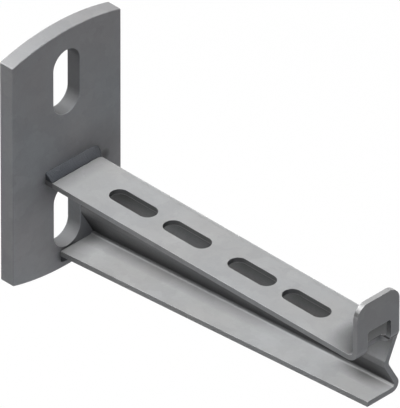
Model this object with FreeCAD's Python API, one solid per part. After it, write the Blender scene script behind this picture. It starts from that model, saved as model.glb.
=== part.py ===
import FreeCAD, Part
import math
import os

# Cantilever strut arm: a head plate that is bolted to a wall, and an arm of folded sheet welded to it.
# The origin is the middle of the plate's back face. X runs out of the wall along the arm,
# Y across the plate towards the side that the web is on, and Z up. Millimetres.

# Head plate
PLATE_WIDTH = 50.0
PLATE_HEIGHT = 94.0
PLATE_THICKNESS = 6.0
PLATE_END_RADIUS = 90.0
PLATE_SLOT_WIDTH = 12.0
PLATE_SLOT_LENGTH = 25.0
PLATE_SLOT_PITCH = 53.0

# Sheet and its bends, by inner radius
SHEET = 2.0
TOP_BEND = 2.0
CREASE_BEND = 2.0
FOOT_BEND = 1.0
LIP_BEND = 2.5

# Folded arm, with depths measured down from the top of the flange to the outer skin
REACH = 150.0
FOOT_ABOVE_PLATE_END = 5.1
FLANGE_EDGE = -10.0
FLANGE_WIDTH = 27.0
ROOT_DEPTH = 34.1
TIP_DEPTH = 27.2
ROOT_CREASE_DEPTH = 20.0
TIP_CREASE_DEPTH = 14.6
UPPER_WEB_SLANT = 24.4
LOWER_WEB_SLANT = 29.0
ROOT_FOOT_WIDTH = 19.0
TIP_FOOT_WIDTH = 16.6

# Slots along the top flange, in pairs
ARM_SLOT_WIDTH = 7.0
ARM_SLOT_LENGTH = 20.0
ARM_SLOT_FIRST = 36.0
ARM_SLOT_PITCH = 25.0
ARM_SLOT_PAIR_PITCH = 55.0
ARM_SLOT_PAIRS = 2
ARM_SLOT_FROM_EDGE = 11.0

# Lip at the tip, and the window through it and its bend
LIP_HEIGHT = 20.0
LIP_FROM_CORNER = 7.5
LIP_CORNER_RADIUS = 5.0
LIP_RELIEF = 1.2
NEAR_LEG_WIDTH = 5.0
FAR_LEG_WIDTH = 4.0
WINDOW_HEIGHT = 8.3
WINDOW_CORNER_RADIUS = 1.0

# Fillet welds
WELD_LEG = 3.2
WELD_RISE = 2.8
WELD_CROWN = 0.2
WELD_TURN = 38.0
WELD_ROOT = 0.8
WEB_WELD_GAP = 1.0
FOOT_WELD_INSET = 0.3

# Worked out from the sizes above
FRONT = PLATE_THICKNESS
FLANGE_TOP = FOOT_ABOVE_PLATE_END + ROOT_DEPTH - PLATE_HEIGHT / 2.0
LIP_TURN = LIP_BEND + SHEET
LIP_START = REACH - LIP_TURN
SECTION_END = LIP_START - LIP_RELIEF
FLANGE_CORNER = FLANGE_EDGE + FLANGE_WIDTH
LIP_FAR_EDGE = FLANGE_CORNER - LIP_FROM_CORNER
CUT_MARGIN = 1.0


def slot_face(length, width):
    """Gives a slot with round ends, in the XY plane about the origin, with its length along X."""
    half = (length - width) / 2.0
    radius = width / 2.0
    lower = Part.LineSegment(FreeCAD.Vector(-half, -radius, 0), FreeCAD.Vector(half, -radius, 0))
    right = Part.Arc(FreeCAD.Vector(half, -radius, 0), FreeCAD.Vector(half + radius, 0, 0),
                     FreeCAD.Vector(half, radius, 0))
    upper = Part.LineSegment(FreeCAD.Vector(half, radius, 0), FreeCAD.Vector(-half, radius, 0))
    left = Part.Arc(FreeCAD.Vector(-half, radius, 0), FreeCAD.Vector(-half - radius, 0, 0),
                    FreeCAD.Vector(-half, -radius, 0))
    return Part.Face(Part.Wire([lower.toShape(), right.toShape(), upper.toShape(), left.toShape()]))


def plate_outline():
    """Gives the plate's outline at its back face: straight sides, with curved top and bottom edges."""
    half = PLATE_WIDTH / 2.0
    crown = PLATE_HEIGHT / 2.0
    drop = PLATE_END_RADIUS - math.sqrt(PLATE_END_RADIUS ** 2 - half ** 2)
    corner = crown - drop
    top = Part.Arc(FreeCAD.Vector(0, half, corner), FreeCAD.Vector(0, 0, crown),
                   FreeCAD.Vector(0, -half, corner))
    near = Part.LineSegment(FreeCAD.Vector(0, -half, corner), FreeCAD.Vector(0, -half, -corner))
    bottom = Part.Arc(FreeCAD.Vector(0, -half, -corner), FreeCAD.Vector(0, 0, -crown),
                      FreeCAD.Vector(0, half, -corner))
    far = Part.LineSegment(FreeCAD.Vector(0, half, -corner), FreeCAD.Vector(0, half, corner))
    return Part.Wire([top.toShape(), near.toShape(), bottom.toShape(), far.toShape()])


def head_plate():
    """Gives the flat plate with its two upright bolt slots."""
    plate = Part.Face(plate_outline()).extrude(FreeCAD.Vector(PLATE_THICKNESS, 0, 0))
    for side in (-1, 1):
        slot = slot_face(PLATE_SLOT_LENGTH, PLATE_SLOT_WIDTH)
        slot.rotate(FreeCAD.Vector(0, 0, 0), FreeCAD.Vector(0, 1, 0), -90)
        slot.translate(FreeCAD.Vector(-CUT_MARGIN, 0, side * PLATE_SLOT_PITCH / 2.0))
        plate = plate.cut(slot.extrude(FreeCAD.Vector(PLATE_THICKNESS + 2 * CUT_MARGIN, 0, 0)))
    return plate


def section_skin(x, depth, crease_depth, foot_width):
    """Gives the outer skin's corners at x, from the top flange's free edge to the bottom flange's."""
    crease = FLANGE_CORNER - crease_depth * math.tan(math.radians(UPPER_WEB_SLANT))
    foot = crease + (depth - crease_depth) * math.tan(math.radians(LOWER_WEB_SLANT))
    return [
        FreeCAD.Vector(x, FLANGE_EDGE, FLANGE_TOP),
        FreeCAD.Vector(x, FLANGE_CORNER, FLANGE_TOP),
        FreeCAD.Vector(x, crease, FLANGE_TOP - crease_depth),
        FreeCAD.Vector(x, foot, FLANGE_TOP - depth),
        FreeCAD.Vector(x, foot - foot_width, FLANGE_TOP - depth),
    ]


def inner_skin(outer):
    """Gives the inner skin's corners, one sheet thickness inside the outer skin's."""
    normals = []
    for start, end in zip(outer, outer[1:]):
        along = (end - start).normalize()
        normals.append(FreeCAD.Vector(0, along.z, -along.y))
    corners = [outer[0] + normals[0] * SHEET]
    for corner, before, after in zip(outer[1:-1], normals, normals[1:]):
        mitre = before + after
        corners.append(corner + mitre * (SHEET / mitre.dot(after)))
    corners.append(outer[-1] + normals[-1] * SHEET)
    return corners


def edge_between(shape, start, end):
    """Gives the straight edge of a shape that runs between two points."""
    middle = (start + end) * 0.5
    return min(shape.Edges, key=lambda edge: edge.CenterOfMass.distanceToPoint(middle))


def folded_section():
    """Gives the arm from the plate to its tip: flat panels of one thickness, joined by round bends."""
    rings = []
    for x, depth, crease_depth, foot_width in (
            (FRONT, ROOT_DEPTH, ROOT_CREASE_DEPTH, ROOT_FOOT_WIDTH),
            (SECTION_END, TIP_DEPTH, TIP_CREASE_DEPTH, TIP_FOOT_WIDTH)):
        outer = section_skin(x, depth, crease_depth, foot_width)
        rings.append(outer + inner_skin(outer)[::-1])
    root, tip = rings
    faces = [Part.Face(Part.makePolygon(ring + ring[:1])) for ring in rings]
    for index in range(len(root)):
        after = (index + 1) % len(root)
        faces.append(Part.Face(Part.makePolygon([root[index], root[after], tip[after], tip[index],
                                                 root[index]])))
    shell = Part.Shell(faces)
    shell.sewShape()
    sheet = Part.Solid(shell)
    last = len(root) - 1
    for corner, skin_radius, back_radius in ((1, TOP_BEND + SHEET, TOP_BEND),
                                             (2, CREASE_BEND, CREASE_BEND + SHEET),
                                             (3, FOOT_BEND + SHEET, FOOT_BEND)):
        skin_edge = edge_between(sheet, root[corner], tip[corner])
        sheet = sheet.makeFillet(skin_radius, [skin_edge])
        back_edge = edge_between(sheet, root[last - corner], tip[last - corner])
        sheet = sheet.makeFillet(back_radius, [back_edge])
    return sheet


def round_topped_face(x, near, far, low, high, radius):
    """Gives an upright rectangle at x whose two top corners are round."""
    inset = radius * (1.0 - math.sqrt(0.5))
    edges = [
        Part.LineSegment(FreeCAD.Vector(x, near, low), FreeCAD.Vector(x, near, high - radius)),
        Part.Arc(FreeCAD.Vector(x, near, high - radius), FreeCAD.Vector(x, near + inset, high - inset),
                 FreeCAD.Vector(x, near + radius, high)),
        Part.LineSegment(FreeCAD.Vector(x, near + radius, high), FreeCAD.Vector(x, far - radius, high)),
        Part.Arc(FreeCAD.Vector(x, far - radius, high), FreeCAD.Vector(x, far - inset, high - inset),
                 FreeCAD.Vector(x, far, high - radius)),
        Part.LineSegment(FreeCAD.Vector(x, far, high - radius), FreeCAD.Vector(x, far, low)),
        Part.LineSegment(FreeCAD.Vector(x, far, low), FreeCAD.Vector(x, near, low)),
    ]
    return Part.Face(Part.Wire([edge.toShape() for edge in edges]))


def end_lip():
    """Gives the tongue of the top flange past the section's end, its upward bend and the lip."""
    width = LIP_FAR_EDGE - FLANGE_EDGE
    low = FLANGE_TOP - SHEET
    tongue = Part.makeBox(LIP_START - SECTION_END, width, SHEET,
                          FreeCAD.Vector(SECTION_END, FLANGE_EDGE, low))
    strip = Part.makePolygon([
        FreeCAD.Vector(LIP_START, FLANGE_EDGE, low),
        FreeCAD.Vector(LIP_START, LIP_FAR_EDGE, low),
        FreeCAD.Vector(LIP_START, LIP_FAR_EDGE, FLANGE_TOP),
        FreeCAD.Vector(LIP_START, FLANGE_EDGE, FLANGE_TOP),
        FreeCAD.Vector(LIP_START, FLANGE_EDGE, low),
    ])
    axis_point = FreeCAD.Vector(LIP_START, FLANGE_EDGE, FLANGE_TOP + LIP_BEND)
    bend = Part.Face(strip).revolve(axis_point, FreeCAD.Vector(0, -1, 0), 90)
    outline = round_topped_face(REACH - SHEET, FLANGE_EDGE, LIP_FAR_EDGE, FLANGE_TOP + LIP_BEND,
                                FLANGE_TOP + LIP_HEIGHT, LIP_CORNER_RADIUS)
    return tongue.fuse([bend, outline.extrude(FreeCAD.Vector(SHEET, 0, 0))])


def lip_window():
    """Gives the space of the window: open below, through the lip and its bend to the flat flange."""
    outline = round_topped_face(LIP_START, FLANGE_EDGE + NEAR_LEG_WIDTH, LIP_FAR_EDGE - FAR_LEG_WIDTH,
                                FLANGE_TOP - SHEET - CUT_MARGIN, FLANGE_TOP + WINDOW_HEIGHT,
                                WINDOW_CORNER_RADIUS)
    return outline.extrude(FreeCAD.Vector(LIP_TURN + CUT_MARGIN, 0, 0))


def arm_slot_centres():
    """Gives the X of each slot's middle, pair by pair."""
    return [ARM_SLOT_FIRST + pair * ARM_SLOT_PAIR_PITCH + step * ARM_SLOT_PITCH
            for pair in range(ARM_SLOT_PAIRS) for step in range(2)]


def mark_seat(arm):
    """Gives the arm with its flange's top face parted at the weld's toe, where the seat for a tray starts."""
    weld_strip = Part.makePlane(WELD_LEG, FLANGE_WIDTH,
                                FreeCAD.Vector(FRONT, FLANGE_EDGE, FLANGE_TOP))
    marked, _ = arm.generalFuse([weld_strip])
    return marked.Solids[0]


def support_arm():
    """Gives the folded arm with its slots, its lip and the lip's window."""
    arm = folded_section().fuse(end_lip()).removeSplitter()
    arm = arm.cut(lip_window())
    for centre in arm_slot_centres():
        slot = slot_face(ARM_SLOT_LENGTH, ARM_SLOT_WIDTH)
        slot.translate(FreeCAD.Vector(centre, FLANGE_EDGE + ARM_SLOT_FROM_EDGE,
                                      FLANGE_TOP - SHEET - CUT_MARGIN))
        arm = arm.cut(slot.extrude(FreeCAD.Vector(0, 0, SHEET + 2 * CUT_MARGIN)))
    return mark_seat(arm)


def bead_profile(start, outward):
    """Gives a weld's cross-section at a point of the skin, with a slightly crowned face.

    The face runs from the plate to the sheet, and the profile's root reaches a little into the sheet.
    """
    run = FreeCAD.Vector(1, 0, 0)
    on_plate = start + outward * WELD_RISE
    on_sheet = start + run * WELD_LEG
    face_normal = (run * WELD_RISE + outward * WELD_LEG).normalize()
    crown = (on_plate + on_sheet) * 0.5 + face_normal * WELD_CROWN
    root_plate = start - outward * WELD_ROOT
    root_sheet = on_sheet - outward * WELD_ROOT
    edges = [
        Part.LineSegment(root_plate, on_plate),
        Part.Arc(on_plate, crown, on_sheet),
        Part.LineSegment(on_sheet, root_sheet),
        Part.LineSegment(root_sheet, root_plate),
    ]
    return Part.Face(Part.Wire([edge.toShape() for edge in edges]))


def straight_bead(start, end, outward):
    """Gives a weld along a straight run of the skin."""
    return bead_profile(start, outward).extrude(end - start)


def top_weld(arm):
    """Gives the weld over the top flange, which turns a little way down over the top bend."""
    skin = section_skin(FRONT, ROOT_DEPTH, ROOT_CREASE_DEPTH, ROOT_FOOT_WIDTH)
    turn = math.radians(90.0 + UPPER_WEB_SLANT)
    bend_radius = TOP_BEND + SHEET
    bend_start = skin[1] - FreeCAD.Vector(0, bend_radius * math.tan(turn / 2.0), 0)
    up = FreeCAD.Vector(0, 0, 1)
    run = straight_bead(skin[0], bend_start, up)
    axis_point = bend_start - up * bend_radius
    round_part = bead_profile(bend_start, up).revolve(axis_point, FreeCAD.Vector(-1, 0, 0), WELD_TURN)
    return run.fuse(round_part).removeSplitter().cut(arm)


def web_weld(arm):
    """Gives the weld down the outer side of the web, over both its panels."""
    skin = section_skin(FRONT, ROOT_DEPTH, ROOT_CREASE_DEPTH, ROOT_FOOT_WIDTH)
    runs = []
    top_set_back = (TOP_BEND + SHEET) * math.tan(math.radians(90.0 + UPPER_WEB_SLANT) / 2.0)
    foot_set_back = (FOOT_BEND + SHEET) * math.tan(math.radians(90.0 + LOWER_WEB_SLANT) / 2.0)
    for start, end, set_back_start, set_back_end in (
            (skin[1], skin[2], top_set_back + WEB_WELD_GAP, 0.0),
            (skin[2], skin[3], 0.0, foot_set_back + WEB_WELD_GAP)):
        along = (end - start).normalize()
        outward = FreeCAD.Vector(0, -along.z, along.y)
        runs.append(straight_bead(start + along * set_back_start, end - along * set_back_end, outward))
    return runs[0].fuse(runs[1]).cut(arm)


def bottom_weld(arm):
    """Gives the weld under the bottom flange, which stops just short of the flange's free edge."""
    skin = section_skin(FRONT, ROOT_DEPTH, ROOT_CREASE_DEPTH, ROOT_FOOT_WIDTH)
    turn = math.radians(90.0 + LOWER_WEB_SLANT)
    bend_start = skin[3] - FreeCAD.Vector(0, (FOOT_BEND + SHEET) * math.tan(turn / 2.0), 0)
    run_end = skin[4] + FreeCAD.Vector(0, FOOT_WELD_INSET, 0)
    return straight_bead(bend_start, run_end, FreeCAD.Vector(0, 0, -1)).cut(arm)


def main():
    """Builds each piece and writes it to its own file."""
    os.makedirs("parts", exist_ok=True)
    arm = support_arm()
    pieces = {
        "head_plate": head_plate(),
        "support_arm": arm,
        "top_weld": top_weld(arm),
        "web_weld": web_weld(arm),
        "bottom_weld": bottom_weld(arm),
    }
    for name, shape in pieces.items():
        shape.exportStep("parts/" + name + ".step")
        print(name, "solids", len(shape.Solids), "valid", shape.isValid(), "volume", round(shape.Volume, 1))


main()
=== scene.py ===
"""Cantilever strut arm: its zinc finishes, its weld beads, and the studio that shows it.

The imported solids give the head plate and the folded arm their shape. This script rounds their
edges, gives them a hot-dip zinc coat, lays rippled beads in place of the plain welds, and sets up a
plain studio with the camera at the photograph's angle. Lengths are in metres, in the solids' frame.
"""

import logging
import math
from dataclasses import dataclass
from enum import Enum
from typing import Any, Sequence

import bmesh
import bpy
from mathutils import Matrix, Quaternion, Vector, noise


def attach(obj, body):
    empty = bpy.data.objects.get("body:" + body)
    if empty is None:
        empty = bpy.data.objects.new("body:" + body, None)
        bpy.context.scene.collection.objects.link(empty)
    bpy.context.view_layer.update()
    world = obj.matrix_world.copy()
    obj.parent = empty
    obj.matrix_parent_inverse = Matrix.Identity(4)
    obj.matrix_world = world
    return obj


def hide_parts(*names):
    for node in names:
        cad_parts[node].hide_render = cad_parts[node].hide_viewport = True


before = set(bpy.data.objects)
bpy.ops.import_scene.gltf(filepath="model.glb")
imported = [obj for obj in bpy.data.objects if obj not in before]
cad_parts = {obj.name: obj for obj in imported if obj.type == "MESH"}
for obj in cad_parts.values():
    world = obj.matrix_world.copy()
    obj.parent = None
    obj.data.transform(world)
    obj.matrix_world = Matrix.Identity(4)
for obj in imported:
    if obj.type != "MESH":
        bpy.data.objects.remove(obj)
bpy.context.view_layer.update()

MM = 0.001
NOISE_MIDDLE = 0.5
Triple = tuple[float, float, float]
Span = tuple[float, float]
LOG = logging.getLogger("strut_arm")


class Read(Enum):
    """What a finish reads from a texture node, by the output's name."""

    FACTOR = "Fac"
    COLOUR = "Color"
    OBJECT_FACING = "Normal"
    OBJECT_PLACE = "Object"


class Tap:
    """An output socket of a finish, on which arithmetic adds the nodes that work it out."""

    def __init__(self, bench: "NodeBench", socket: bpy.types.NodeSocket) -> None:
        """Keeps the socket and the bench that its node stands on.

        Args:
            bench: The node tree that new nodes go to.
            socket: The output socket.
        """
        self.bench = bench
        self.socket = socket

    def __add__(self, other: Any) -> "Tap":
        """Gives this plus another value."""
        return self.bench.combine("ADD", self, other)

    def __radd__(self, other: Any) -> "Tap":
        """Gives another value plus this."""
        return self.bench.combine("ADD", other, self)

    def __sub__(self, other: Any) -> "Tap":
        """Gives this minus another value."""
        return self.bench.combine("SUBTRACT", self, other)

    def __rsub__(self, other: Any) -> "Tap":
        """Gives another value minus this."""
        return self.bench.combine("SUBTRACT", other, self)

    def __mul__(self, other: Any) -> "Tap":
        """Gives this times another value."""
        return self.bench.combine("MULTIPLY", self, other)

    def __rmul__(self, other: Any) -> "Tap":
        """Gives another value times this."""
        return self.bench.combine("MULTIPLY", other, self)

    def __pow__(self, other: Any) -> "Tap":
        """Gives this number to a power."""
        return self.bench.combine("POWER", self, other)

    def __rpow__(self, other: Any) -> "Tap":
        """Gives another number to the power of this."""
        return self.bench.combine("POWER", other, self)


class NodeBench:
    """A node tree on which a finish or the background is laid out."""

    MIX_FACTOR, MIX_FIRST, MIX_SECOND, MIX_RESULT = 0, 6, 7, 2
    EDGE_SAMPLES = 4
    EDGE_FACING = (1.0, 0.75)
    OPENNESS_SAMPLES = 16

    def __init__(self, tree: bpy.types.NodeTree) -> None:
        """Clears the tree.

        Args:
            tree: The tree of a material or of the world.
        """
        self.tree = tree
        tree.nodes.clear()

    def add(self, kind: str, settings: dict[str, Any],
            inputs: dict[int | str, Any]) -> bpy.types.Node:
        """Adds one node.

        Args:
            kind: The node's type.
            settings: What is set on the node itself, before its sockets.
            inputs: A value or link for each named or numbered input.

        Returns:
            The node.
        """
        made = self.tree.nodes.new(kind)
        for name, value in settings.items():
            setattr(made, name, value)
        for key, value in inputs.items():
            if isinstance(value, Tap):
                self.tree.links.new(value.socket, made.inputs[key])
            else:
                made.inputs[key].default_value = value
        return made

    def node(self, kind: str, settings: dict[str, Any] | None = None,
             inputs: dict[int | str, Any] | None = None, output: int | str | Read = 0) -> Tap:
        """Adds one node and gives one of its outputs.

        Args:
            kind: The node's type.
            settings: What is set on the node itself, before its sockets.
            inputs: A value or link for each named or numbered input.
            output: The output that the caller goes on with.

        Returns:
            That output.
        """
        made = self.add(kind, settings or {}, inputs or {})
        return Tap(self, made.outputs[output.value if isinstance(output, Read) else output])

    def combine(self, operation: str, first: Any, second: Any) -> Tap:
        """Joins two values by one operation, with the node that suits what they are.

        Args:
            operation: ADD, SUBTRACT, MULTIPLY, or POWER for numbers.
            first: A socket, a number, or three numbers.
            second: The same.

        Returns:
            The result.
        """
        kinds = {value.socket.type for value in (first, second) if isinstance(value, Tap)}
        if "VECTOR" in kinds:
            pair = [value if isinstance(value, Tap) else three(value) for value in (first, second)]
            return self.node("ShaderNodeVectorMath", {"operation": operation},
                             dict(enumerate(pair)))
        if "RGBA" in kinds:
            pair = [value if isinstance(value, Tap) else opaque(value) for value in (first, second)]
            return self.blend(operation, 1.0, *pair)
        return self.node("ShaderNodeMath", {"operation": operation}, {0: first, 1: second})

    def blend(self, operation: str, factor: Any, first: Any, second: Any) -> Tap:
        """Blends two colours, with a node whose colour sockets are told apart by number alone.

        Args:
            operation: MIX, ADD, SUBTRACT or MULTIPLY.
            factor: How far the blend goes, from 0 to 1.
            first: A socket or an opaque colour.
            second: The same.

        Returns:
            The colour.
        """
        return self.node("ShaderNodeMix", {"data_type": "RGBA", "blend_type": operation},
                         {self.MIX_FACTOR: factor, self.MIX_FIRST: first, self.MIX_SECOND: second},
                         self.MIX_RESULT)

    def between(self, factor: Any, low: Triple, high: Triple) -> Tap:
        """Gives a colour between two others, at 0 the first and at 1 the second."""
        return self.blend("MIX", factor, opaque(low), opaque(high))

    def spread(self, value: Any, source: Span, target: Span) -> Tap:
        """Maps one range of a number onto another, with no overshoot.

        Args:
            value: The number.
            source: The range that it comes in.
            target: The range that it leaves in.

        Returns:
            The mapped number.
        """
        return self.node("ShaderNodeMapRange", {"clamp": True}, {
            "Value": value, "From Min": source[0], "From Max": source[1],
            "To Min": target[0], "To Max": target[1]})

    def rising(self, value: Any, span: Span) -> Tap:
        """Gives 0 where a number is below a range, rising through it to 1 above it."""
        return self.spread(value, span, (0.0, 1.0))

    def falling(self, value: Any, span: Span) -> Tap:
        """Gives 1 where a number is below a range, falling through it to 0 above it."""
        return self.spread(value, span, (1.0, 0.0))

    def within(self, value: Any, span: Span, soft: float) -> Tap:
        """Gives 1 where a number lies in a range, falling to 0 over a soft border outside it."""
        return (self.rising(value, (span[0] - soft, span[0]))
                * self.falling(value, (span[1], span[1] + soft)))

    def clouds(self, place: Tap, size: float, detail: float = 2.0,
               read: Read = Read.FACTOR) -> Tap:
        """Gives cloudy noise around 0.5.

        Args:
            place: Where on the object the noise is read.
            size: The clouds' size in metres.
            detail: How many finer layers it has.
            read: The number or the colour.

        Returns:
            The noise.
        """
        return self.node("ShaderNodeTexNoise", {},
                         {"Vector": place, "Scale": 1.0 / size, "Detail": detail}, read)

    def crystals(self, place: Tap, size: float) -> Tap:
        """Gives a random number from 0 to 1 for each crystal of the zinc.

        Args:
            place: Where on the object the crystals are read.
            size: The crystals' size in metres.

        Returns:
            The number, the same all over one crystal.
        """
        cell = self.node("ShaderNodeTexVoronoi", {},
                         {"Vector": place, "Scale": 1.0 / size}, Read.COLOUR)
        return self.node("ShaderNodeSeparateColor", {}, {0: cell})

    def edges(self, radius: float) -> Tap:
        """Finds the edges, where the zinc is rubbed bright.

        Args:
            radius: How far from the edge the mask reaches.

        Returns:
            A number from 0 on a flat face to 1 on an edge.
        """
        rounded = self.node("ShaderNodeBevel", {"samples": self.EDGE_SAMPLES}, {"Radius": radius})
        true = self.node("ShaderNodeNewGeometry", output="True Normal")
        facing = self.node("ShaderNodeVectorMath", {"operation": "DOT_PRODUCT"},
                           {0: rounded, 1: true}, "Value")
        return self.spread(facing, self.EDGE_FACING, (0.0, 1.0))

    def part(self, value: Any, axis: str) -> Tap:
        """Gives one of the three numbers of a place or a direction."""
        return self.node("ShaderNodeSeparateXYZ", {}, {0: value}, axis)

    def openness(self, reach: float, own_only: bool = False) -> Tap:
        """Gives how open a place is: 1 on an open face, and less in a corner.

        Args:
            reach: How far away a face still closes a place in.
            own_only: True where only the piece itself closes a place in.

        Returns:
            The number.
        """
        return self.node("ShaderNodeAmbientOcclusion",
                         {"samples": self.OPENNESS_SAMPLES, "only_local": own_only},
                         {"Distance": reach}, "AO")

    def white_seen(self) -> Tap:
        """Tells the rays that see the plain background from those that light the object.

        Returns:
            1 for the first kind, and 0 for the second.
        """
        seen, glossy, through = (self.node("ShaderNodeLightPath", output=name) for name in
                                 ("Is Camera Ray", "Is Glossy Ray", "Is Transmission Ray"))
        return self.rising(seen + glossy + through, (0.0, 1.0))

    def deliver(self, shader: Tap, kind: str = "ShaderNodeOutputMaterial") -> None:
        """Sends a shader to the tree's output."""
        self.add(kind, {}, {"Surface": shader})


def three(value: float | Sequence[float]) -> Triple:
    """Gives three numbers for a number or for three numbers."""
    return (value,) * 3 if isinstance(value, (int, float)) else tuple(value)


def opaque(colour: float | Sequence[float]) -> tuple[float, float, float, float]:
    """Gives a colour, or a grey, with full alpha."""
    return (*three(colour), 1.0)


def arch(share: float) -> float:
    """Gives 0 at both ends of the range from 0 to 1, and 1 in its middle."""
    return 4.0 * share * (1.0 - share)


@dataclass(frozen=True)
class Spot:
    """What a coat reads of the point that it shades: its place, its facing, and how open it is."""

    out: Tap
    across: Tap
    height: Tap
    upward: Tap
    level: Tap
    clear: Tap


@dataclass(frozen=True)
class ZincCoat:
    """A hot-dip zinc coat: crystals, cloudy tone, fine grain, bright edges, and painted shade in
    hollows and corners.
    """

    name: str
    warm: Triple
    cool: Triple
    metallic: float
    roughness: float
    crystal_size: float = 6.0 * MM
    crystal_contrast: float = 0.08
    crystal_roughness: float = 0.10
    ragged_share: float = 0.5
    small_share: float = 0.35
    small_contrast: float = 0.04
    cloud_size: float = 28.0 * MM
    cloud_range: Span = (0.35, 0.65)
    grain_size: float = 0.55 * MM
    grain_contrast: float = 0.08
    grain_roughness: float = 0.12
    grain_height: float = 0.004 * MM
    fine_detail: float = 3.0
    swell_size: float = 7.0 * MM
    swell_height: float = 0.03 * MM
    edge_radius: float = 0.4 * MM
    edge_gain: float = 0.12
    edge_polish: float = 0.14
    specular: float = 0.12
    # Painted shade in hollows and corners, from how open each point is.
    hollow_shade_reach: float = 14.0 * MM
    hollow_shade_power: float = 1.6
    corner_reach: float = 6.0 * MM
    corner_shade_power: float = 0.4
    recess_roughness: float = 0.25
    level_facing: Span = (0.55, 0.95)
    # How strong the painted shade at the beads' ends is.
    end_shade: float = 0.0

    def material(self) -> bpy.types.Material:
        """Builds the coat.

        Returns:
            The material.
        """
        made = bpy.data.materials.new(self.name)
        made.use_nodes = True
        bench = NodeBench(made.node_tree)
        place = bench.node("ShaderNodeTexCoord", output=Read.OBJECT_PLACE)
        stray = bench.clouds(place, self.crystal_size * self.ragged_share, self.fine_detail,
                             Read.COLOUR) - NOISE_MIDDLE
        ragged = place + stray * self.crystal_size
        large = bench.crystals(ragged, self.crystal_size) - NOISE_MIDDLE
        small = bench.crystals(ragged, self.crystal_size * self.small_share) - NOISE_MIDDLE
        cloud = bench.rising(bench.clouds(place, self.cloud_size), self.cloud_range)
        grain = bench.clouds(place, self.grain_size, self.fine_detail)
        speck = grain - NOISE_MIDDLE
        edge = bench.edges(self.edge_radius)
        spot = self.spot(bench, place)
        # Painted shade: the tone darkens in hollows and corners by how closed in each point is,
        # times each coat's own painted light and shade.
        steepness = (1.0 - spot.level) * self.hollow_shade_steepness(bench, spot)
        painted_shading, worn = self.painted_shading(bench, spot)
        shade = (bench.openness(self.hollow_shade_reach) ** steepness
                 * spot.clear ** (spot.level * self.corner_shade_power) * painted_shading)
        tone = (1.0 + large * self.crystal_contrast + small * self.small_contrast
                + speck * self.grain_contrast + edge * self.edge_gain) * shade
        # Painted shade at the beads' ends, from a value that each bead's mesh carries.
        if self.end_shade:
            end_shaded = bench.node("ShaderNodeAttribute", {"attribute_name": "end_shade"}, output="Fac")
            tone = tone * (1.0 - end_shaded * self.end_shade)
        swell = bench.clouds(place, self.swell_size)
        height = swell * self.swell_height + grain * self.grain_height
        bench.deliver(bench.node("ShaderNodeBsdfPrincipled", {}, {
            "Base Color": bench.between(cloud, self.warm, self.cool) * tone,
            "Metallic": self.metallic,
            "Specular IOR Level": self.specular,
            "Roughness": (self.roughness + large * self.crystal_roughness
                          + speck * self.grain_roughness - edge * self.edge_polish
                          + (1.0 - spot.clear) * self.recess_roughness + worn),
            "Normal": bench.node("ShaderNodeBump", {},
                                 {"Strength": 1.0, "Distance": 1.0, "Height": height}),
        }))
        return made

    def spot(self, bench: NodeBench, place: Tap) -> Spot:
        """Reads the point that is shaded.

        Args:
            bench: The material's node tree.
            place: The point's place on the object.

        Returns:
            What the coat reads there.
        """
        out, across, height = (bench.part(place, axis) for axis in "XYZ")
        upward = bench.part(bench.node("ShaderNodeTexCoord", output=Read.OBJECT_FACING), "Z")
        return Spot(out, across, height, upward, level=bench.rising(upward, self.level_facing),
                    clear=bench.openness(self.corner_reach))

    def hollow_shade_steepness(self, bench: NodeBench, spot: Spot) -> Tap | float:
        """Gives how steeply the painted shade falls in a hollow, as the power of the openness."""
        return self.hollow_shade_power

    def painted_shading(self, bench: NodeBench, spot: Spot) -> tuple[Tap | float, Tap | float]:
        """Gives the piece's own painted light and shade: a factor on the tone, and what is added to
        the roughness.
        """
        return 1.0, 0.0


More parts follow.
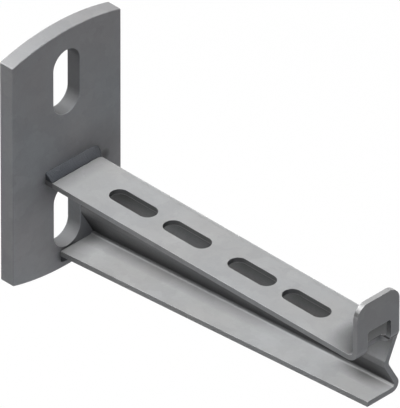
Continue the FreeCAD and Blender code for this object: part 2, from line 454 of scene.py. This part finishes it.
@dataclass(frozen=True)
class PunchedPlateCoat(ZincCoat):
    """The head plate's coat: painted shade on its slots' sheared walls, its level faces and round
    the top weld's far end, and painted light towards its front's lower left.
    """

    # Painted shade on the slots' sheared walls, and a band of painted light across them.
    skin: Span = (0.35 * MM, 5.65 * MM)
    slots_across: Span = (-6.4 * MM, 6.4 * MM)
    slots_height: Span = (-40.0 * MM, 40.0 * MM)
    slot_shade: Span = (0.29, 0.41)
    slot_roughness: float = 0.5
    soft: float = 0.25 * MM
    arc_shade_span: Span = (-5.0 * MM, 3.0 * MM)
    arc_shade: float = 0.26
    arc_light_span: Span = (2.5 * MM, 4.0 * MM)
    arc_soft: float = 1.8 * MM
    arc_light: float = 0.08
    # Painted shade on the plate's level faces, and painted light that rises towards the front's
    # lower left.
    level_shade: float = 0.11
    left_side: Span = (-24.85 * MM, -24.6 * MM)
    painted_lift_slope: float = 0.6
    painted_lift_span: Span = (-25.0 * MM, 3.0 * MM)
    painted_lift_gain: float = 0.20
    # How steeply the painted shade falls in hollows, above and below the top weld.
    weld_level: Span = (-9.0 * MM, -6.0 * MM)
    weld_shade_power: float = 0.8
    channel_edge: Span = (1.0 * MM, 4.0 * MM)
    channel_shade_power: float = 0.75
    wall_shade_power: Span = (0.62, 0.7)
    # Round patches of painted shade on the front, round the top weld's far end.
    front_span: Span = (5.6 * MM, 5.9 * MM)
    weld_shade_centre: Span = (17.3 * MM, -11.3 * MM)
    weld_shade_reach: float = 2.6 * MM
    weld_shade_loss: float = 0.45
    halo_shade_centre: Span = (14.5 * MM, -6.0 * MM)
    halo_shade_reach: float = 11.5 * MM
    halo_shade_loss: float = 0.15

    def hollow_shade_steepness(self, bench: NodeBench, spot: Spot) -> Tap:
        """Gives how steeply the painted shade falls in a hollow.

        Args:
            bench: The material's node tree.
            spot: The point that is shaded.

        Returns:
            The power of the openness: less above the arm than below it, and less in a slot and in
            the arm's hollow.
        """
        low = bench.spread(spot.across, self.channel_edge, (self.hollow_shade_power, self.channel_shade_power))
        face = low + bench.rising(spot.height, self.weld_level) * (self.weld_shade_power - low)
        wall = bench.spread(spot.height, self.weld_level, self.wall_shade_power)
        return face + self.wall(bench, spot) * (wall - face)

    def shade_patch(self, bench: NodeBench, spot: Spot, centre: Span, reach: float,
              loss: float) -> Tap:
        """Gives a round patch of painted shade on the plate's front, by the weld.

        Args:
            bench: The material's node tree.
            spot: The point that is shaded.
            centre: The patch's middle, across and up.
            reach: Its radius.
            loss: How much tone its middle loses.

        Returns:
            The tone that is lost.
        """
        aside, above = spot.across - centre[0], spot.height - centre[1]
        return (bench.spread(aside * aside + above * above, (0.0, reach ** 2), (loss, 0.0))
                * bench.rising(spot.out, self.front_span))

    def wall(self, bench: NodeBench, spot: Spot) -> Tap:
        """Gives 1 on the sheared walls of the slots."""
        return (bench.within(spot.out, self.skin, self.soft)
                * bench.within(spot.across, self.slots_across, self.soft)
                * bench.within(spot.height, self.slots_height, self.soft))

    def painted_shading(self, bench: NodeBench, spot: Spot) -> tuple[Tap, Tap]:
        """Gives the painted shade on the slots' sheared walls, the level faces and by the weld, and
        the painted light towards the lower left.

        Args:
            bench: The material's node tree.
            spot: The point that is shaded.

        Returns:
            A factor on the tone, and what is added to the roughness.
        """
        wall = self.wall(bench, spot)
        fall = spot.across + spot.height * self.painted_lift_slope
        painted_lift = (bench.spread(fall, self.painted_lift_span, (self.painted_lift_gain, 0.0))
                   * bench.rising(spot.across, self.left_side))
        weld_shade = (self.shade_patch(bench, spot, self.weld_shade_centre, self.weld_shade_reach, self.weld_shade_loss)
                + self.shade_patch(bench, spot, self.halo_shade_centre, self.halo_shade_reach, self.halo_shade_loss))
        loss = (bench.spread(spot.height, self.weld_level, self.slot_shade)
                + bench.spread(spot.across, self.arc_shade_span, (self.arc_shade, 0.0))
                - bench.within(spot.across, self.arc_light_span, self.arc_soft) * self.arc_light)
        # Painted shade on the slot walls, the level faces and by the weld, and painted light
        # towards the lower left.
        tone = ((1.0 - wall * loss) * (1.0 - spot.level * self.level_shade)
                * (1.0 + (1.0 - spot.level) * painted_lift) * (1.0 - weld_shade))
        return tone, wall * self.slot_roughness


@dataclass(frozen=True)
class FoldedSheetCoat(ZincCoat):
    """The arm's coat: a painted shadow at the lip's foot, painted shade in hollows, slots and
    beside the welds, and painted light and a painted highlight on the flanges.
    """

    # How steeply the painted shade falls in hollows, for each panel of the section.
    slant_facing: Span = (0.2, 0.4)
    slant_shade_power: float = 0.7
    slant_tip_shade_power: float = -0.8
    tip_span: Span = (118.0 * MM, 142.0 * MM)
    under_facing: Span = (-0.4, -0.2)
    under_shade_power: float = 0.25
    root_ease: float = 0.35
    root_ease_span: Span = (8.0 * MM, 20.0 * MM)
    slot_light: float = 0.5
    slot_light_height: Span = (-22.0 * MM, -19.0 * MM)
    slot_light_soft: float = 5.0 * MM
    slot_light_span: Span = (45.0 * MM, 105.0 * MM)
    # Painted shade on the sheared walls of the lip's window.
    cut_soft: float = 0.1 * MM
    window_out: Span = (145.35 * MM, 149.8 * MM)
    window_across: Span = (-5.6 * MM, 5.6 * MM)
    window_height: Span = (-9.9 * MM, 0.6 * MM)
    window_shade_power: Triple = (1.0, 0.6, 2.8)
    window_side: Span = (4.9 * MM, 5.3 * MM)
    window_side_height: Span = (-7.5 * MM, -4.5 * MM)
    # The painted shadow at the lip's foot, and behind the window.
    lip_shadow_reach: float = 18.0 * MM
    lip_shadow_power: Span = (3.6, 14.4)
    lip_across: Span = (-10.0 * MM, 6.0 * MM)
    lip_height: Span = (-9.5 * MM, -8.5 * MM)
    lip_start: Span = (126.3 * MM, 127.5 * MM)
    behind_across: Span = (-3.0 * MM, 1.0 * MM)
    behind_start: Span = (137.5 * MM, 141.5 * MM)
    behind_height: Span = (-7.85 * MM, -7.2 * MM)
    behind_soft: float = 0.25 * MM
    behind_fade: Span = (142.0 * MM, 145.1 * MM)
    behind_shadow_tone: Span = (0.12, 0.18)
    # Painted shade on the sheared walls of the four long slots.
    slots_across: Span = (-2.9 * MM, 4.9 * MM)
    slots_height: Span = (-9.6 * MM, -8.05 * MM)
    slots_end: Span = (130.0 * MM, 131.0 * MM)
    slot_shade: float = 0.62
    # The painted shade beside the welds, and the painted light past them.
    weld_shade_end: Span = (8.95 * MM, 9.45 * MM)
    weld_shade_loss: float = 0.40
    free_edge: Span = (-9.85 * MM, -9.8 * MM)
    root_span: Span = (8.0 * MM, 15.5 * MM)
    root_shade: float = 0.49
    root_light_span: Span = (15.0 * MM, 50.0 * MM)
    root_light_height: Span = (-12.0 * MM, -10.0 * MM)
    root_light: float = 0.07
    # The bottom flange's painted light, the painted shade along the bend at its foot, and a painted
    # highlight line in that bend.
    low_panel: Span = (-25.0 * MM, -20.0 * MM)
    painted_lift_height: Span = (-36.0 * MM, -33.0 * MM)
    painted_lift_gain: float = 0.13
    light_pool_span: Span = (90.0 * MM, 115.0 * MM)
    light_pool_soft: float = 8.0 * MM
    light_pool_gain: float = 0.08
    bend_span: Span = (55.0 * MM, 105.0 * MM)
    bend_shade_power: Span = (0.5, -0.35)
    bend_tip_start: Span = (119.0 * MM, 131.0 * MM)
    bend_tip_end: Span = (133.0 * MM, 145.0 * MM)
    bend_tip_shade_power: float = 1.5
    line_facing: Span = (0.3, 0.85)
    line_soft: float = 0.12
    line_across: Span = (6.0 * MM, 8.0 * MM)
    highlight_gain: float = 0.4
    # Painted shade and light on the web's two panels near the tip.
    tip_under_facing: Span = (-0.4, -0.3)
    tip_under_span: Span = (118.0 * MM, 135.0 * MM)
    tip_under_height: Span = (-33.0 * MM, -24.0 * MM)
    tip_under_shade: float = 0.35
    tip_slant_facing: Span = (0.35, 0.5)
    tip_slant_soft: float = 0.1
    tip_slant_span: Span = (134.0 * MM, 143.0 * MM)
    tip_slant_height: Span = (-22.4 * MM, -13.0 * MM)
    tip_slant_shading: Span = (0.45, -0.47)

    def hollow_shade_steepness(self, bench: NodeBench, spot: Spot) -> Tap:
        """Gives how steeply the painted shade falls in a hollow, by the panel and the way to the
        tip.

        Args:
            bench: The material's node tree.
            spot: The point that is shaded.

        Returns:
            The power of the openness.
        """
        slant = bench.spread(spot.out, self.tip_span, (self.slant_shade_power, self.slant_tip_shade_power))
        lit = (bench.within(spot.height, self.slot_light_height, self.slot_light_soft)
               * bench.spread(spot.out, self.slot_light_span, (self.slot_light, 0.0)))
        depth = (self.hollow_shade_power + bench.rising(spot.upward, self.slant_facing) * (slant - lit)
                 + bench.spread(spot.upward, self.under_facing, (self.under_shade_power, 0.0))
                 - bench.spread(spot.out, self.root_ease_span, (self.root_ease, 0.0)))
        shelf, low, high = self.window_shade_power
        side = bench.spread(spot.height, self.window_side_height, (low - shelf, high - shelf))
        change = shelf - 1.0 + side * bench.rising(spot.across, self.window_side)
        return depth * (1.0 + self.window(bench, spot) * change)

    def window(self, bench: NodeBench, spot: Spot) -> Tap:
        """Gives 1 on the sheared walls of the lip's window."""
        return (bench.within(spot.out, self.window_out, self.cut_soft)
                * bench.within(spot.across, self.window_across, self.cut_soft)
                * bench.within(spot.height, self.window_height, self.cut_soft))

    def lip_shadow(self, bench: NodeBench, spot: Spot) -> Tap:
        """Gives the painted shadow at the lip's foot, and behind its window.

        Args:
            bench: The material's node tree.
            spot: The point that is shaded.

        Returns:
            A factor on the tone.
        """
        above = (bench.rising(spot.height, self.lip_height)
                 * bench.rising(spot.out, self.lip_start))
        power = bench.spread(spot.across, self.lip_across, self.lip_shadow_power)
        shadow_depth = 1.0 - bench.openness(self.lip_shadow_reach, own_only=True) ** power
        foot = 1.0 - above * (1.0 - self.window(bench, spot)) * shadow_depth
        behind = (bench.rising(spot.across, self.behind_across)
                  * bench.rising(spot.out, self.behind_start)
                  * bench.within(spot.height, self.behind_height, self.behind_soft))
        tone = bench.spread(spot.out, self.behind_fade, self.behind_shadow_tone)
        return foot * (1.0 - behind) + behind * tone

    def root(self, bench: NodeBench, spot: Spot) -> Tap:
        """Gives the painted shade beside the welds, and the flange's painted light past them.

        Args:
            bench: The material's node tree.
            spot: The point that is shaded.

        Returns:
            A factor on the tone.
        """
        weld_shaded = bench.falling(spot.out, self.weld_shade_end) * bench.falling(spot.across, self.free_edge)
        near = bench.falling(spot.out, self.root_span)
        root_light = (bench.spread(spot.out, self.root_light_span, (self.root_light, 0.0))
                * bench.rising(spot.height, self.root_light_height))
        return (1.0 - weld_shaded * self.weld_shade_loss) * (1.0 + spot.level * (root_light - near * self.root_shade))

    def lower_flange(self, bench: NodeBench, spot: Spot) -> Tap:
        """Gives the tone of the lower flange: painted shade along the bend, a painted highlight
        line in it, and painted light.

        Args:
            bench: The material's node tree.
            spot: The point that is shaded.

        Returns:
            A factor on the tone.
        """
        low = bench.falling(spot.height, self.low_panel)
        near_tip = (bench.rising(spot.out, self.bend_tip_start)
                    * bench.falling(spot.out, self.bend_tip_end))
        power = (bench.spread(spot.out, self.bend_span, self.bend_shade_power)
                 + low * near_tip * self.bend_tip_shade_power)
        # Painted light on a stretch of the lower flange.
        pool = bench.within(spot.out, self.light_pool_span, self.light_pool_soft)
        painted_lift = (bench.spread(spot.height, self.painted_lift_height, (self.painted_lift_gain, 0.0))
                   + pool * low * self.light_pool_gain)
        # A painted highlight line along the foot bend.
        line = (bench.within(spot.upward, self.line_facing, self.line_soft) * low
                * bench.rising(spot.across, self.line_across))
        return (spot.clear ** (spot.level * power) * (1.0 + spot.level * painted_lift)
                * (1.0 + line * self.highlight_gain))

    def tip_web(self, bench: NodeBench, spot: Spot) -> Tap:
        """Gives the painted shade and light on the web's two panels near the tip.

        Args:
            bench: The material's node tree.
            spot: The point that is shaded.

        Returns:
            A factor on the tone.
        """
        under = (bench.falling(spot.upward, self.tip_under_facing)
                 * bench.rising(spot.out, self.tip_under_span)
                 * bench.spread(spot.height, self.tip_under_height, (0.0, self.tip_under_shade)))
        slant = (bench.within(spot.upward, self.tip_slant_facing, self.tip_slant_soft)
                 * bench.rising(spot.out, self.tip_slant_span)
                 * bench.spread(spot.height, self.tip_slant_height, self.tip_slant_shading))
        return (1.0 - under) * (1.0 + slant)

    def slot_walls(self, bench: NodeBench, spot: Spot) -> Tap:
        """Gives the painted shade on the long slots' sheared walls.

        Args:
            bench: The material's node tree.
            spot: The point that is shaded.

        Returns:
            A factor on the tone.
        """
        wall = (bench.within(spot.across, self.slots_across, self.cut_soft)
                * bench.within(spot.height, self.slots_height, self.cut_soft)
                * bench.falling(spot.out, self.slots_end))
        return 1.0 - wall * self.slot_shade

    def painted_shading(self, bench: NodeBench, spot: Spot) -> tuple[Tap, float]:
        """Gives all the sheet's painted light and shade: a factor on the tone, and what the
        roughness gains.
        """
        return (self.lip_shadow(bench, spot) * self.root(bench, spot)
                * self.lower_flange(bench, spot) * self.tip_web(bench, spot)
                * self.slot_walls(bench, spot)), 0.0


@dataclass
class CoatedSteel:
    """A packed steel piece: coated, and with its sharp edges rounded as zinc rounds them."""

    node: str
    coat: ZincCoat
    edge_radius: float
    edge_steps: int = 2
    sharp_angle: float = math.radians(35.0)
    flat_angle: float = math.radians(0.5)
    seam_width: float = 0.001 * MM
    large_face_weight: int = 100

    def dress(self) -> bpy.types.Object:
        """Rounds the piece's edges and coats it.

        Returns:
            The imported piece.
        """
        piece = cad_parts[self.node]
        piece.modifiers.new("close_seams", "WELD").merge_threshold = self.seam_width
        flats = piece.modifiers.new("join_flats", "DECIMATE")
        flats.decimate_type = "DISSOLVE"
        flats.angle_limit = self.flat_angle
        edges = piece.modifiers.new("round_edges", "BEVEL")
        edges.width = self.edge_radius
        edges.segments = self.edge_steps
        edges.limit_method = "ANGLE"
        edges.angle_limit = self.sharp_angle
        normals = piece.modifiers.new("even_normals", "WEIGHTED_NORMAL")
        normals.weight = self.large_face_weight
        for slot in piece.material_slots:
            slot.material = self.coat.material()
        return piece


@dataclass(frozen=True)
class ArmSection:
    """The outer skin of the arm's section where it meets the head plate."""

    plate_front: float = 6.0 * MM
    flange_edge: float = -10.0 * MM
    flange_corner: float = 17.0 * MM
    flange_top: float = -7.8 * MM
    depth: float = 34.1 * MM
    crease_depth: float = 20.0 * MM
    upper_slant: float = math.radians(24.4)
    lower_slant: float = math.radians(29.0)
    foot_width: float = 19.0 * MM
    top_bend: float = 4.0 * MM
    foot_bend: float = 3.0 * MM

    def skin(self) -> list[Vector]:
        """Gives the skin's corners, from the top flange's free edge to the bottom flange's.

        Returns:
            The five corners.
        """
        crease = self.flange_corner - self.crease_depth * math.tan(self.upper_slant)
        foot = crease + (self.depth - self.crease_depth) * math.tan(self.lower_slant)
        low = self.flange_top - self.depth
        return [Vector((self.plate_front, y, z)) for y, z in (
            (self.flange_edge, self.flange_top), (self.flange_corner, self.flange_top),
            (crease, self.flange_top - self.crease_depth), (foot, low),
            (foot - self.foot_width, low))]

    def top_set_back(self) -> float:
        """Gives how far from its corner the top bend starts."""
        return self.top_bend * math.tan((math.pi / 2 + self.upper_slant) / 2)

    def foot_set_back(self) -> float:
        """Gives how far from its corner the foot bend starts."""
        return self.foot_bend * math.tan((math.pi / 2 + self.lower_slant) / 2)


@dataclass(frozen=True)
class Station:
    """A place along a bead: a point of the skin, the way out of it, the lean, the run so far."""

    point: Vector
    outward: Vector
    lean: Vector
    run: float


@dataclass
class BeadPath:
    """The line that a bead follows on the skin, as evenly spaced stations."""

    spacing: float = 0.11 * MM
    least_step: float = 0.011 * MM
    mitre_blend: float = 4.0 * MM

    def __post_init__(self) -> None:
        """Starts with no station."""
        self.stations: list[Station] = []

    def add(self, point: Vector, outward: Vector, lean: Vector) -> None:
        """Adds a station after the last.

        Args:
            point: The point of the skin.
            outward: The way out of the skin.
            lean: How far the section leans along the path, for each unit of height.
        """
        last = self.stations[-1] if self.stations else None
        step = (point - last.point).length if last else 0.0
        if last is None or step > self.least_step:
            run = last.run + step if last else 0.0
            self.stations.append(Station(point, outward, lean, run))

    def straight(self, start: Vector, end: Vector, outward: Vector,
                 mitre_start: float = 0.0, mitre_end: float = 0.0) -> None:
        """Adds a straight run.

        Args:
            start: Its first point.
            end: Its last point.
            outward: The way out of the skin.
            mitre_start: The tangent of half the turn before it.
            mitre_end: The tangent of half the turn after it.
        """
        along = (end - start).normalized()
        length = (end - start).length
        count = max(2, round(length / self.spacing))
        for step in range(count + 1):
            done = length * step / count
            lean = (mitre_start * max(0.0, 1.0 - done / self.mitre_blend)
                    - mitre_end * max(0.0, 1.0 - (length - done) / self.mitre_blend))
            self.add(start + along * done, outward, along * lean)

    def around(self, axis_point: Vector, start: Vector, turn: float) -> None:
        """Adds a run round an outer bend, about an axis along X.

        Args:
            axis_point: A point of the bend's axis.
            start: The point where the bend starts.
            turn: How far it goes, in radians, from up towards +Y.
        """
        radius = (start - axis_point).length
        count = max(2, round(radius * turn / self.spacing))
        for step in range(1, count + 1):
            angle = turn * step / count
            outward = Vector((0.0, math.sin(angle), math.cos(angle)))
            self.add(axis_point + outward * radius, outward, Vector())


@dataclass
class WeldBead:
    """A fillet weld whose face has the ripples that the pool leaves as it moves along."""

    name: str
    path: BeadPath
    coat: ZincCoat
    seed: float
    leg: float = 3.1 * MM
    rise: float = 2.7 * MM
    crown: float = 0.2 * MM
    ripple_pitch: float = 0.95 * MM
    ripple_height: float = 0.11 * MM
    ripple_bow: float = 0.8 * MM
    ripple_skew: float = 0.75
    ripple_at_toes: float = 0.3
    uneven_share: float = 0.5
    uneven_length: float = 3.0 * MM
    toe_wander: float = 0.05
    toe_noise_rows: Span = (3.0, 7.0)
    wander_length: float = 2.2 * MM
    end_length: float = 0.7 * MM
    end_size: float = 0.86
    sunk: float = 0.02 * MM
    # How far the painted shade reaches in from each end of the bead.
    end_shade_start: float = 0.25 * MM
    end_shade_end: float = 1.3 * MM
    face_steps: int = 14

    def ripple(self, run: float, across: float) -> float:
        """Gives the ripples' height over the plain face.

        Args:
            run: The distance along the bead.
            across: The place across the face, from 0 at the plate to 1 at the sheet.

        Returns:
            The height.
        """
        uneven = noise.noise(Vector((run / self.uneven_length, self.seed, 0.0))) * self.uneven_share
        phase = (run + self.ripple_bow * arch(across)) / self.ripple_pitch + uneven
        wave = 0.5 - 0.5 * math.cos(math.tau * (phase % 1.0) ** self.ripple_skew)
        share = self.ripple_at_toes + (1.0 - self.ripple_at_toes) * arch(across)
        return self.ripple_height * wave * share

    def section(self, station: Station, length: float) -> list[Vector]:
        """Gives the bead's section at a station: its face from plate to sheet, then its root.

        Args:
            station: The station.
            length: The bead's whole length.

        Returns:
            The section's points.
        """
        from_end = min(station.run, length - station.run) / self.end_length
        short = 1.0 - min(1.0, from_end)
        size = self.end_size + (1.0 - self.end_size) * math.sqrt(1.0 - short ** 2)
        along = station.run / self.wander_length
        drift = [1.0 + self.toe_wander * noise.noise(Vector((along, self.seed, row)))
                 for row in self.toe_noise_rows]
        leg, rise = self.leg * size * drift[0], self.rise * size * drift[1]
        facing = Vector((rise, leg)).normalized()
        points = []
        for step in range(self.face_steps + 1):
            across = step / self.face_steps
            proud = self.crown * arch(across) + self.ripple(station.run, across)
            out = leg * across + facing.x * proud
            up = rise * (1.0 - across) + facing.y * proud
            if step == 0:
                out = -self.sunk
            if step == self.face_steps:
                up = -self.sunk
            points.append(self.place(station, out, up))
        points.append(self.place(station, -self.sunk, -self.sunk))
        return points

    def place(self, station: Station, out: float, up: float) -> Vector:
        """Gives the point that lies so far out from the plate and so far up from the skin."""
        return station.point + Vector((out, 0.0, 0.0)) + (station.outward + station.lean) * up

    def lay(self) -> bpy.types.Object:
        """Builds the bead and puts it in place of the plain weld.

        Returns:
            The bead.
        """
        mesh = bmesh.new()
        end_shade = mesh.verts.layers.float.new("end_shade")
        stations = self.path.stations
        length = stations[-1].run
        rings = []
        for station in stations:
            # Painted shade at the bead's two ends, stored on each point for the coat to read.
            end_shaded = 1.0 - min(1.0, station.run / self.end_shade_start,
                              (length - station.run) / self.end_shade_end)
            ring = [mesh.verts.new(point) for point in self.section(station, length)]
            for vert in ring:
                vert[end_shade] = end_shaded
            rings.append(ring)
        count = len(rings[0])
        for before, after in zip(rings, rings[1:]):
            for index in range(count):
                following = (index + 1) % count
                face = mesh.faces.new((before[index], after[index],
                                       after[following], before[following]))
                face.smooth = index < self.face_steps
        mesh.faces.new(rings[0])
        mesh.faces.new(rings[-1][::-1])
        bmesh.ops.recalc_face_normals(mesh, faces=mesh.faces)
        data = bpy.data.meshes.new(self.name)
        mesh.to_mesh(data)
        mesh.free()
        data.materials.append(self.coat.material())
        bead = bpy.data.objects.new(self.name + "_bead", data)
        bpy.context.scene.collection.objects.link(bead)
        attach(bead, "root")
        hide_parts(self.name)
        return bead


@dataclass
class Welding:
    """The three fillet welds that join the arm to the head plate."""

    section: ArmSection
    coat: ZincCoat
    top_turn: float = math.radians(38.0)
    web_gap: float = 1.0 * MM
    foot_inset: float = 0.3 * MM
    seed_step: float = 11.0

    def top_path(self) -> BeadPath:
        """Gives the line over the top flange and a little way down over the top bend.

        Returns:
            The line.
        """
        free_edge, corner, *_ = self.section.skin()
        bend_start = corner - Vector((0.0, self.section.top_set_back(), 0.0))
        path = BeadPath()
        path.straight(free_edge, bend_start, Vector((0.0, 0.0, 1.0)))
        bend_axis = bend_start - Vector((0.0, 0.0, self.section.top_bend))
        path.around(bend_axis, bend_start, self.top_turn)
        return path

    def web_path(self) -> BeadPath:
        """Gives the line down the outer side of the web, over both its panels.

        Returns:
            The line.
        """
        _, corner, crease, foot, _ = self.section.skin()
        mitre = math.tan((self.section.upper_slant + self.section.lower_slant) / 2)
        path = BeadPath()
        upper = (crease - corner).normalized()
        lower = (foot - crease).normalized()
        path.straight(corner + upper * (self.section.top_set_back() + self.web_gap), crease,
                      Vector((0.0, -upper.z, upper.y)), mitre_end=mitre)
        path.straight(crease, foot - lower * (self.section.foot_set_back() + self.web_gap),
                      Vector((0.0, -lower.z, lower.y)), mitre_start=mitre)
        return path

    def bottom_path(self) -> BeadPath:
        """Gives the line under the bottom flange.

        Returns:
            The line.
        """
        *_, foot, free_edge = self.section.skin()
        path = BeadPath()
        path.straight(foot - Vector((0.0, self.section.foot_set_back(), 0.0)),
                      free_edge + Vector((0.0, self.foot_inset, 0.0)), Vector((0.0, 0.0, -1.0)))
        return path

    def lay(self) -> list[bpy.types.Object]:
        """Lays the three beads.

        Returns:
            The beads.
        """
        paths = {"top_weld": self.top_path(), "web_weld": self.web_path(),
                 "bottom_weld": self.bottom_path()}
        return [WeldBead(name, path, self.coat, seed=self.seed_step * number).lay()
                for number, (name, path) in enumerate(paths.items(), start=1)]


@dataclass(frozen=True)
class SoftBox:
    """A square studio lamp with an even face."""

    name: str
    place: Triple
    side: float
    watts: float
    aim: Triple = (0.05, 0.0, 0.0)
    tint: Triple = (1.0, 1.0, 1.0)
    casts_shadow: bool = True
    gloss_only: bool = False

    def hang(self) -> None:
        """Hangs the lamp in its place, facing what it lights."""
        data = bpy.data.lights.new(self.name, "AREA")
        data.shape = "SQUARE"
        data.size = self.side
        data.energy = self.watts
        data.color = self.tint
        data.use_shadow = self.casts_shadow
        data.cycles.use_multiple_importance_sampling = self.casts_shadow
        lamp = bpy.data.objects.new(self.name, data)
        lamp.location = self.place
        lamp.visible_diffuse = not self.gloss_only
        ray = Vector(self.aim) - Vector(self.place)
        lamp.rotation_euler = ray.to_track_quat("-Z", "Y").to_euler()
        bpy.context.scene.collection.objects.link(lamp)


@dataclass(frozen=True)
class Studio:
    """A plain pale floor below the arm, a white surround, soft lamps, and the camera."""

    floor_level: float = -200.0 * MM
    floor_reach: float = 4.0
    floor_shadow: float = 0.04
    floor_white: float = 0.95
    floor_bounce: float = 0.30
    fill: Triple = (0.03, 0.03, 0.032)
    camera_place: Triple = (3.709991, -3.649658, 3.620943)
    camera_back: Triple = (0.578507, -0.579694, 0.573834)
    camera_roll: float = math.radians(0.1246)
    camera_lens: float = 1700.0
    camera_sensor: float = 36.0
    lamps: tuple[SoftBox, ...] = (
        SoftBox("ceiling_light", place=(-0.20, -0.06, 1.1), side=1.4, watts=23.5,
                casts_shadow=False),
        SoftBox("overhead_lamp", place=(-0.20, -0.06, 1.1), side=0.5, watts=0.35),
        SoftBox("front_lamp", place=(0.7, -0.3, -0.3), side=0.4, watts=1.03,
                tint=(0.94, 0.96, 1.05), casts_shadow=False),
        SoftBox("rear_lamp", place=(-0.5, 0.6, -0.3), side=0.4, watts=0.9, casts_shadow=False),
        SoftBox("highlight_lamp", place=(-0.57, -0.38, 0.82), side=0.35, watts=32.0,
                gloss_only=True),
    )

    def floor(self) -> None:
        """Lays the floor, which looks white and keeps the arm's shadow."""
        mesh = bmesh.new()
        bmesh.ops.create_grid(mesh, x_segments=2, y_segments=2, size=self.floor_reach)
        data = bpy.data.meshes.new("studio_floor")
        mesh.to_mesh(data)
        mesh.free()
        floor = bpy.data.objects.new("studio_floor", data)
        floor.location = (0.0, 0.0, self.floor_level)
        bpy.context.scene.collection.objects.link(floor)
        paint = bpy.data.materials.new("floor_paint")
        paint.use_nodes = True
        bench = NodeBench(paint.node_tree)
        shown = bench.node("ShaderNodeMixShader", {}, {
            0: self.floor_shadow,
            1: bench.node("ShaderNodeEmission", {}, {"Color": opaque(1.0), "Strength": 1.0}),
            2: bench.node("ShaderNodeBsdfDiffuse", {}, {"Color": opaque(self.floor_white)}),
        })
        dim = bench.node("ShaderNodeBsdfDiffuse", {}, {"Color": opaque(self.floor_bounce)})
        bench.deliver(bench.node("ShaderNodeMixShader", {},
                                 {0: bench.white_seen(), 1: dim, 2: shown}))
        data.materials.append(paint)

    def surround(self) -> None:
        """Makes the surround white to look at, and dim as a light."""
        world = bpy.data.worlds.new("studio_surround")
        bpy.context.scene.world = world
        world.use_nodes = True
        bench = NodeBench(world.node_tree)
        white = bench.node("ShaderNodeBackground", {}, {"Color": opaque(1.0), "Strength": 1.0})
        dim = bench.node("ShaderNodeBackground", {}, {"Color": opaque(self.fill), "Strength": 1.0})
        bench.deliver(bench.node("ShaderNodeMixShader", {},
                                 {0: bench.white_seen(), 1: dim, 2: white}),
                      "ShaderNodeOutputWorld")

    def camera(self) -> None:
        """Sets the camera: a very long lens, level with the photograph's even three-way view."""
        data = bpy.data.cameras.new("studio_camera")
        data.lens = self.camera_lens
        data.sensor_width = self.camera_sensor
        camera = bpy.data.objects.new("studio_camera", data)
        level = Vector(self.camera_back).to_track_quat("Z", "Y")
        camera.location = self.camera_place
        camera.rotation_euler = (level @ Quaternion((0.0, 0.0, 1.0), self.camera_roll)).to_euler()
        bpy.context.scene.collection.objects.link(camera)
        bpy.context.scene.camera = camera

    def build(self) -> None:
        """Sets up the whole studio."""
        self.floor()
        self.surround()
        for lamp in self.lamps:
            lamp.hang()
        self.camera()
        bpy.context.scene.view_settings.view_transform = "Standard"


def report(piece: bpy.types.Object) -> None:
    """Writes a piece's name, size and finish to the log.

    Args:
        piece: A packed or a built piece.
    """
    graph = bpy.context.evaluated_depsgraph_get()
    shown = piece.evaluated_get(graph)
    size = [round(edge / MM, 2) for edge in shown.dimensions]
    LOG.info("%s: %s mm, %d faces, finish %s", piece.name, size, len(shown.data.polygons),
             piece.material_slots[0].material.name)


def main() -> None:
    """Builds each part of the scene in order and reports each piece."""
    logging.basicConfig(level=logging.INFO, format="%(message)s")
    # Each coat paints shade into its hollows and corners; the plate's and the sheet's coats add
    # their own painted light and shade.
    plate_coat = PunchedPlateCoat(
        "plate_zinc", warm=(0.318, 0.316, 0.321), cool=(0.308, 0.319, 0.329), metallic=0.08,
        roughness=0.48, hollow_shade_power=1.9)
    sheet_coat = FoldedSheetCoat(
        "sheet_zinc", warm=(0.325, 0.325, 0.325), cool=(0.318, 0.324, 0.33), metallic=0.08,
        roughness=0.44, hollow_shade_reach=30.0 * MM)
    bead_coat = ZincCoat(
        "weld_zinc", warm=(0.084, 0.086, 0.094), cool=(0.078, 0.085, 0.097), metallic=0.12,
        roughness=0.55, crystal_size=2.5 * MM, edge_gain=0.0, hollow_shade_power=0.35, end_shade=0.5)
    pieces = [
        CoatedSteel("head_plate", plate_coat, edge_radius=0.35 * MM, edge_steps=3).dress(),
        CoatedSteel("support_arm", sheet_coat, edge_radius=0.25 * MM).dress(),
        *Welding(ArmSection(), bead_coat).lay(),
    ]
    Studio().build()
    for piece in pieces:
        report(piece)


if __name__ == "__main__":
    main()
